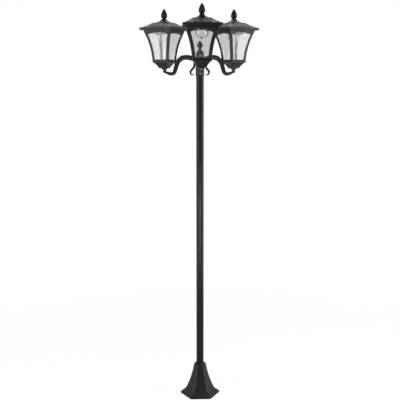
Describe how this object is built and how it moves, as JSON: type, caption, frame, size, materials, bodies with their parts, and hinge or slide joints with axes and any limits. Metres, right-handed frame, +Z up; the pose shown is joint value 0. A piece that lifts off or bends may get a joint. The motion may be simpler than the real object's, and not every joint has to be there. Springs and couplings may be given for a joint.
{
  "type": "triple head lamp post",
  "caption": "Slim black garden lamp post on a six-sided flared foot, with square solar lanterns on S-shaped arms set evenly round its top.",
  "frame": {"origin": "centre of the anchor plate's underside, on the floor at the post's axis", "axes": "+Z up along the post, -Y towards the front lantern, +X to the right seen from the front"},
  "size_m": [0.5526, 0.4785, 1.83],
  "materials": {
    "post_paint": "satin black paint",
    "cast_paint": "satin black paint on castings",
    "lantern_black": "satin black moulded plastic",
    "tray_black": "fine-grained black moulded plastic",
    "switch_grey": "grey moulded plastic",
    "clear_pane": "clear, smooth",
    "clear_globe": "clear, smooth",
    "solar_cell": "laminated cells under a glossy cover",
    "steel": "zinc-plated",
    "circuit_board": "white solder mask",
    "battery_wrap": "shrink wrap"
  },
  "bodies": {
    "post": {"base_plate": "steel", "post_bottom": "post_paint", "post_middle": "post_paint", "post_top": "post_paint", "coupler_lower": "steel", "coupler_upper": "steel", "post_screws": "steel", "hub": "cast_paint", "hub_finial": "cast_paint", "front_arm": "cast_paint", "front_cup": "lantern_black", "front_lantern_frame": "lantern_black", "front_panes": "clear_pane", "front_lock_nuts": "steel", "left_arm": "cast_paint", "left_cup": "lantern_black", "left_lantern_frame": "lantern_black", "left_panes": "clear_pane", "left_lock_nuts": "steel", "right_arm": "cast_paint", "right_cup": "lantern_black", "right_lantern_frame": "lantern_black", "right_panes": "clear_pane", "right_lock_nuts": "steel"},
    "base_cover": {"base_cover": "cast_paint"},
    "front_roof_unit": {"front_roof": "lantern_black", "front_solar_panels": "solar_cell", "front_finial": "lantern_black", "front_roof_tray": "tray_black", "front_tray_screws": "steel", "front_led_board": "circuit_board", "front_battery": "battery_wrap", "front_globe": "clear_globe"},
    "front_battery_door": {"front_battery_door": "tray_black"},
    "front_switch_knob": {"front_switch_knob": "switch_grey"},
    "left_roof_unit": {"left_roof": "lantern_black", "left_solar_panels": "solar_cell", "left_finial": "lantern_black", "left_roof_tray": "tray_black", "left_tray_screws": "steel", "left_led_board": "circuit_board", "left_battery": "battery_wrap", "left_globe": "clear_globe"},
    "left_battery_door": {"left_battery_door": "tray_black"},
    "left_switch_knob": {"left_switch_knob": "switch_grey"},
    "right_roof_unit": {"right_roof": "lantern_black", "right_solar_panels": "solar_cell", "right_finial": "lantern_black", "right_roof_tray": "tray_black", "right_tray_screws": "steel", "right_led_board": "circuit_board", "right_battery": "battery_wrap", "right_globe": "clear_globe"},
    "right_battery_door": {"right_battery_door": "tray_black"},
    "right_switch_knob": {"right_switch_knob": "switch_grey"}
  },
  "joints": [
    {"name": "base_cover_lift", "type": "slide", "parent": "post", "child": "base_cover", "axis": [0, 0, 1], "range_m": [0, 0.15]},
    {"name": "front_roof_lift", "type": "slide", "parent": "post", "child": "front_roof_unit", "axis": [0, 0, 1], "range_m": [0, 0.12]},
    {"name": "front_battery_door_hinge", "type": "hinge", "parent": "front_roof_unit", "child": "front_battery_door", "pos_m": [0, -0.23945, 1.7366], "axis": [-1, 0, 0], "range_deg": [0, 90]},
    {"name": "front_switch_slide", "type": "slide", "parent": "front_roof_unit", "child": "front_switch_knob", "axis": [1, 0, 0], "range_m": [0, 0.004]},
    {"name": "left_roof_lift", "type": "slide", "parent": "post", "child": "left_roof_unit", "axis": [0, 0, 1], "range_m": [0, 0.12]},
    {"name": "left_battery_door_hinge", "type": "hinge", "parent": "left_roof_unit", "child": "left_battery_door", "pos_m": [-0.20737, 0.11972, 1.7366], "axis": [0.5, 0.866, 0], "range_deg": [0, 90]},
    {"name": "left_switch_slide", "type": "slide", "parent": "left_roof_unit", "child": "left_switch_knob", "axis": [-0.5, -0.866, 0], "range_m": [0, 0.004]},
    {"name": "right_roof_lift", "type": "slide", "parent": "post", "child": "right_roof_unit", "axis": [0, 0, 1], "range_m": [0, 0.12]},
    {"name": "right_battery_door_hinge", "type": "hinge", "parent": "right_roof_unit", "child": "right_battery_door", "pos_m": [0.20737, 0.11972, 1.7366], "axis": [0.5, -0.866, 0], "range_deg": [0, 90]},
    {"name": "right_switch_slide", "type": "slide", "parent": "right_roof_unit", "child": "right_switch_knob", "axis": [-0.5, 0.866, 0], "range_m": [0, 0.004]}
  ]
}
